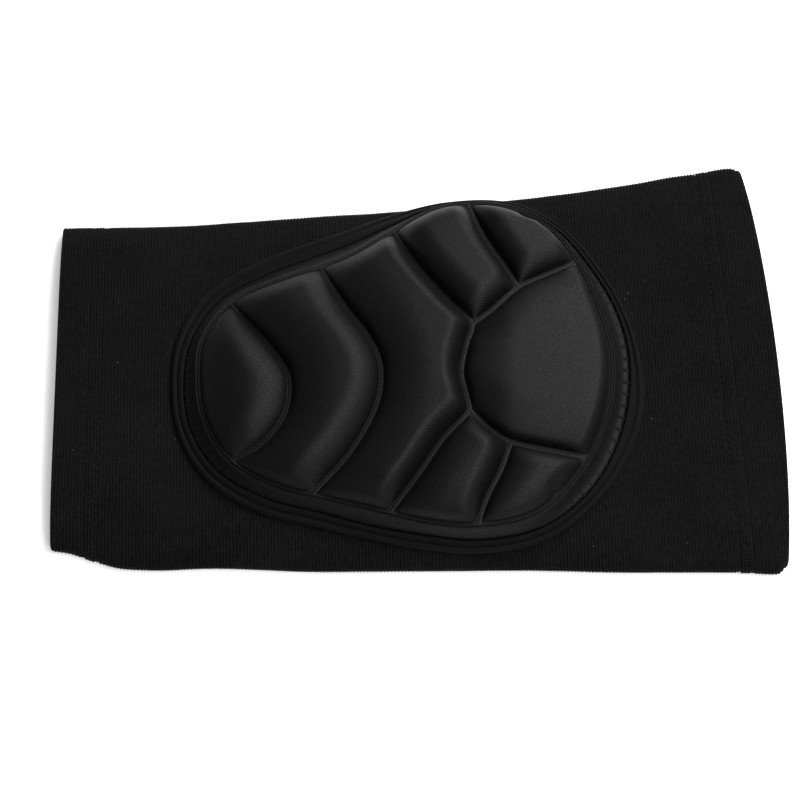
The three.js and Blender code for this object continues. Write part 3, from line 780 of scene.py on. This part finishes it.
def makeHemStitches():
    # small stitches along the sewn lines of both hems, on the upper and the lower layer
    groups = []
    length = sleeve["length"]
    ends = [(place / length, 0) for place in sleeve["calfSeams"]]
    ends += [(1 - place / length, sleeve["seamBow"]) for place in sleeve["thighSeams"]]
    for end, bow in ends:
        loop = sleeveLoops(np.array([end - .0005, end, end + .0005]), np.zeros(3))
        fromMiddle = np.minimum((2 * loop[..., 1] / sleeve["thighWidth"]) ** 2, 1)
        loop[..., 0] = loop[..., 0] - bow * (1 - fromMiddle)
        line = np.concatenate([loop[1], loop[1][:1]])
        across = np.concatenate([loop[2] - loop[0], (loop[2] - loop[0])[:1]])
        reach = lengthAlong(line)
        count = int(reach[-1] / sleeve["stitchPitch"])
        at = (np.arange(count) + .5) * reach[-1] / count
        middle = np.stack([np.interp(at, reach, line[:, n]) for n in range(3)], -1)
        ahead = np.stack([np.interp(at + .3, reach, line[:, n]) for n in range(3)], -1)
        side = np.stack([np.interp(at, reach, across[:, n]) for n in range(3)], -1)
        way = ahead - middle
        way = way / np.linalg.norm(way, axis=1, keepdims=True)
        up = np.cross(side, way)
        up = up / np.linalg.norm(up, axis=1, keepdims=True)
        centre = line[:-1].mean(0)
        outward = middle - centre
        up = up * np.sign((up * outward).sum(1, keepdims=True))
        groups.append((middle - up * (sleeve["seamDepth"] - sleeve["stitchStand"]), way, up))
    middle, way, up = (np.concatenate([g[k] for g in groups]) for k in range(3))
    keep = middle[:, 2] > .4
    piece = capsules("hemStitches", middle[keep], way[keep], up[keep], sleeve["stitchSize"])
    print("hemStitches:", int(keep.sum()))
    return piece


# Finishes

def newMaterial(name):
    # a node material, with its tree and its shader
    material = bpy.data.materials.new(name)
    material.use_nodes = True
    return material, material.node_tree, material.node_tree.nodes["Principled BSDF"]


def addNode(tree, kind, **values):
    # values go to the sockets that have their name, and otherwise to the node's own settings
    node = tree.nodes.new(kind)
    for key, value in values.items():
        if key in node.inputs:
            node.inputs[key].default_value = value
        else:
            setattr(node, key, value)
    return node


def texture(tree, kind, place, **values):
    # a node that reads a place on the piece
    node = addNode(tree, kind, **values)
    tree.links.new(place, node.inputs["Vector"])
    return node


def mapShare(tree, source, start, end, low=0, high=1):
    # a value carried from start..end to low..high, and held beyond
    node = addNode(tree, "ShaderNodeMapRange", **{"From Min": start, "From Max": end,
                                                  "To Min": low, "To Max": high})
    tree.links.new(source, node.inputs["Value"])
    return node.outputs["Result"]


def scaled(tree, source, factor, plus, clamp=False):
    # source * factor + plus
    node = addNode(tree, "ShaderNodeMath", operation="MULTIPLY_ADD", use_clamp=clamp)
    tree.links.new(source, node.inputs[0])
    node.inputs[1].default_value = factor
    tree.links.new(plus, node.inputs[2])
    return node.outputs[0]


def mixed(tree, share, first, second):
    # two colours mixed by a share; the first may come from another node
    node = addNode(tree, "ShaderNodeMix", data_type="RGBA")
    tree.links.new(share, node.inputs["Factor"])
    if isinstance(first, tuple):
        node.inputs["A"].default_value = first
    else:
        tree.links.new(first, node.inputs["A"])
    node.inputs["B"].default_value = second
    return node.outputs["Result"]


def threadLines(tree, place, direction, pitch, distortion, detail):
    # a wave texture repeats every 2 pi / 20 of its scale
    node = texture(tree, "ShaderNodeTexWave", place, wave_type="BANDS", bands_direction=direction,
                   Scale=2 * math.pi / 20 / pitch, Distortion=distortion, Detail=1,
                   **{"Detail Scale": detail})
    return node.outputs["Fac"]


def setSurface(tree, shader, colour, height, look):
    # colour, relief and the numbers that are the same all over a finish
    tree.links.new(colour, shader.inputs["Base Color"])
    bump = addNode(tree, "ShaderNodeBump", Strength=look["relief"], Distance=look["reliefDepth"])
    tree.links.new(height, bump.inputs["Height"])
    tree.links.new(bump.outputs["Normal"], shader.inputs["Normal"])
    shader.inputs["Sheen Weight"].default_value = look["sheen"]
    shader.inputs["Sheen Roughness"].default_value = look["sheenRoughness"]
    shader.inputs["Specular IOR Level"].default_value = look["gloss"]


def knitFinish():
    # matt black knit: fine wales across the ribs, mottled yarn, a little pale lint, and painted shade
    # between the ribs
    look = {
        "dark": (.0015, .0014, .0015, 1), "light": (.0090, .0087, .0089, 1),
        "blotches": 45, "blotchShare": .5,
        "strokeSize": (.0010, .0022, .0022),     # metres along, across and up
        "strokeShare": (.1, .5), "paintedValleyShade": -.45,
        "lint": (.05, .05, .052, 1), "specks": 260, "speckSize": (.10, .04),
        "patches": 130, "patchShare": (.60, .68),
        "walePitch": .0009, "waleShare": .6, "relief": .8, "reliefDepth": .0003,
        "roughness": .92, "sheen": .012, "sheenRoughness": .5, "gloss": .06,
    }
    material, tree, shader = newMaterial("blackKnit")
    place = addNode(tree, "ShaderNodeTexCoord").outputs["Object"]
    blotch = texture(tree, "ShaderNodeTexNoise", place, Scale=look["blotches"], Detail=2)
    # strokes of yarn along the ribs, with painted shade darkening the knit between the ribs
    lay = texture(tree, "ShaderNodeMapping", place, Scale=tuple(1 / n for n in look["strokeSize"]))
    strokes = texture(tree, "ShaderNodeTexNoise", lay.outputs["Vector"], Scale=1.0, Detail=2,
                      Roughness=.6).outputs["Fac"]
    valley = addNode(tree, "ShaderNodeAttribute", attribute_name="valley")
    stroke = mapShare(tree, strokes, .3, .7, *look["strokeShare"])
    # painted shade: the colour darkens where the rib valleys lie
    tone = scaled(tree, valley.outputs["Fac"], look["paintedValleyShade"], stroke)
    share = scaled(tree, blotch.outputs["Fac"], look["blotchShare"], tone, clamp=True)
    shade = mixed(tree, share, look["dark"], look["light"])
    # lint lies in a few patches
    spots = texture(tree, "ShaderNodeTexVoronoi", place, Scale=look["specks"], feature="F1")
    patches = texture(tree, "ShaderNodeTexNoise", place, Scale=look["patches"], Detail=1)
    speck = mapShare(tree, spots.outputs["Distance"], *look["speckSize"])
    rare = mapShare(tree, patches.outputs["Fac"], *look["patchShare"])
    where = addNode(tree, "ShaderNodeMath", operation="MULTIPLY")
    tree.links.new(speck, where.inputs[0])
    tree.links.new(rare, where.inputs[1])
    dusted = mixed(tree, where.outputs[0], shade, look["lint"])
    wales = threadLines(tree, place, "Y", look["walePitch"], .8, 3)
    setSurface(tree, shader, dusted, scaled(tree, wales, look["waleShare"], strokes), look)
    shader.inputs["Roughness"].default_value = look["roughness"]
    return material


def padFinish():
    # satin black cover: a fine weave, near level, with grain and a slightly uneven tone
    look = {
        "dark": (.0004, .0004, .0004, 1), "light": (.0014, .0013, .0015, 1),
        "blotches": 38, "blotchShare": .4, "grain": 1900, "grainShare": .6,
        "weaveTurn": -8, "linePitch": .00078, "acrossShare": .7, "weaveShare": .22,
        "relief": .8, "reliefDepth": .00012,
        "roughness": (.45, .66), "sheen": .008, "sheenRoughness": .35, "gloss": .16,
    }
    material, tree, shader = newMaterial("satinCover")
    place = addNode(tree, "ShaderNodeTexCoord").outputs["Object"]
    blotch = texture(tree, "ShaderNodeTexNoise", place, Scale=look["blotches"], Detail=3)
    fine = texture(tree, "ShaderNodeTexNoise", place, Scale=look["grain"], Detail=2).outputs["Fac"]
    grain = mapShare(tree, fine, .3, .7, 0, look["grainShare"])
    share = scaled(tree, blotch.outputs["Fac"], look["blotchShare"], grain)
    shade = mixed(tree, share, look["dark"], look["light"])
    lay = texture(tree, "ShaderNodeMapping", place, Rotation=(0, 0, math.radians(look["weaveTurn"])))
    level = threadLines(tree, lay.outputs["Vector"], "Y", look["linePitch"], .6, 2)
    across = threadLines(tree, lay.outputs["Vector"], "X", look["linePitch"], .6, 2)
    weave = scaled(tree, across, look["acrossShare"], level)
    setSurface(tree, shader, shade, scaled(tree, weave, look["weaveShare"], fine), look)
    tree.links.new(mapShare(tree, fine, .3, .7, *look["roughness"]), shader.inputs["Roughness"])
    return material


def threadFinish(name, colour, roughness):
    # dark yarn with fine fibres, and painted shade that darkens it in the valleys of what it covers
    look = {"fibres": 2600, "darkest": .3, "lightest": 2.2, "paintedValleyShade": -.8,
            "relief": .4, "reliefDepth": .0001, "sheen": .02, "sheenRoughness": .4, "gloss": .1}
    material, tree, shader = newMaterial(name)
    place = addNode(tree, "ShaderNodeTexCoord").outputs["Object"]
    fibre = texture(tree, "ShaderNodeTexNoise", place, Scale=look["fibres"], Detail=2).outputs["Fac"]
    valley = addNode(tree, "ShaderNodeAttribute", attribute_name="valley")
    # painted shade in the rib valleys
    tone = scaled(tree, valley.outputs["Fac"], look["paintedValleyShade"], fibre, clamp=True)
    dark, light = (tuple(c * look[key] for c in colour) + (1,) for key in ("darkest", "lightest"))
    setSurface(tree, shader, mixed(tree, tone, dark, light), fibre, look)
    shader.inputs["Roughness"].default_value = roughness
    return material


def setCamera():
    # at its distance from the target, along (sin turn cos rise, -cos turn cos rise, sin rise)
    turn, rise = math.radians(camera["turn"]), math.radians(camera["rise"])
    back = Vector((math.sin(turn) * math.cos(rise), -math.cos(turn) * math.cos(rise), math.sin(rise)))
    data = bpy.data.cameras.new("camera")
    data.lens = camera["lens"]
    data.sensor_width = 36
    data.clip_start, data.clip_end = .02, 20
    view = bpy.data.objects.new("camera", data)
    view.location = (Vector(camera["target"]) + back * camera["distance"]) * mm
    view.rotation_mode = "QUATERNION"
    view.rotation_quaternion = (-back).to_track_quat("-Z", "Y")
    bpy.context.scene.collection.objects.link(view)
    bpy.context.scene.camera = view


def setLights():
    # one long soft light high on the right, a weak one behind, and a pale room; metres and watts
    roomStrength = .2
    lights = [
        {"name": "keyLight", "at": (.66, -.2, 1.2), "size": 2.5, "depth": .6, "power": 34},
        {"name": "backLight", "at": (.55, 1.1, .9), "size": .9, "depth": .7, "power": 15},
    ]
    for light in lights:
        data = bpy.data.lights.new(light["name"], "AREA")
        data.shape = "RECTANGLE"
        data.size, data.size_y = light["size"], light["depth"]
        data.energy = light["power"]
        lamp = bpy.data.objects.new(light["name"], data)
        lamp.location = light["at"]
        lamp.rotation_mode = "QUATERNION"
        lamp.rotation_quaternion = Vector(light["at"]).to_track_quat("Z", "Y")
        bpy.context.scene.collection.objects.link(lamp)
    world = bpy.data.worlds.new("room")
    world.use_nodes = True
    world.node_tree.nodes["Background"].inputs["Color"].default_value = (1, 1, 1, 1)
    world.node_tree.nodes["Background"].inputs["Strength"].default_value = roomStrength
    bpy.context.scene.world = world
    bpy.context.scene.view_settings.view_transform = "Standard"


def makeFloor():
    # a pale floor just under the sleeve, which glows a little so that it stays white
    mesh = bpy.data.meshes.new("floor")
    size, low = 3.0, -.0003
    mesh.from_pydata([(-size, -size, low), (size, -size, low), (size, size, low), (-size, size, low)],
                     [], [(0, 1, 2, 3)])
    floor = bpy.data.objects.new("floor", mesh)
    bpy.context.scene.collection.objects.link(floor)
    material, _, shader = newMaterial("paleFloor")
    shader.inputs["Base Color"].default_value = (.93, .93, .93, 1)
    shader.inputs["Roughness"].default_value = .7
    shader.inputs["Emission Color"].default_value = (1, 1, 1, 1)
    shader.inputs["Emission Strength"].default_value = .35
    mesh.materials.append(material)


setCamera()
setLights()
makeFloor()
kneeSleeve = makeKneeSleeve()
kneePad = makeKneePad()
edgeBand = makeEdgeBand()
flangeStitches = makeFlangeStitches()
hemStitches = makeHemStitches()

kneeSleeve.data.materials.append(knitFinish())
kneePad.data.materials.append(padFinish())
edgeBand.data.materials.append(threadFinish("bandYarn", (.0034, .0034, .0035), .8))
flangeStitches.data.materials.append(threadFinish("flangeThread", (.005, .005, .0054), .55))
hemStitches.data.materials.append(threadFinish("hemThread", (.0048, .0047, .005), .7))

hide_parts("knit_sleeve")
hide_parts("moulded_pad")
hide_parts("edge_binding")
for piece, slot in ((kneeSleeve, "knit"), (kneePad, "pad_cover"), (edgeBand, "binding"),
                    (flangeStitches, "binding"), (hemStitches, "knit")):
    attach(piece, "root")
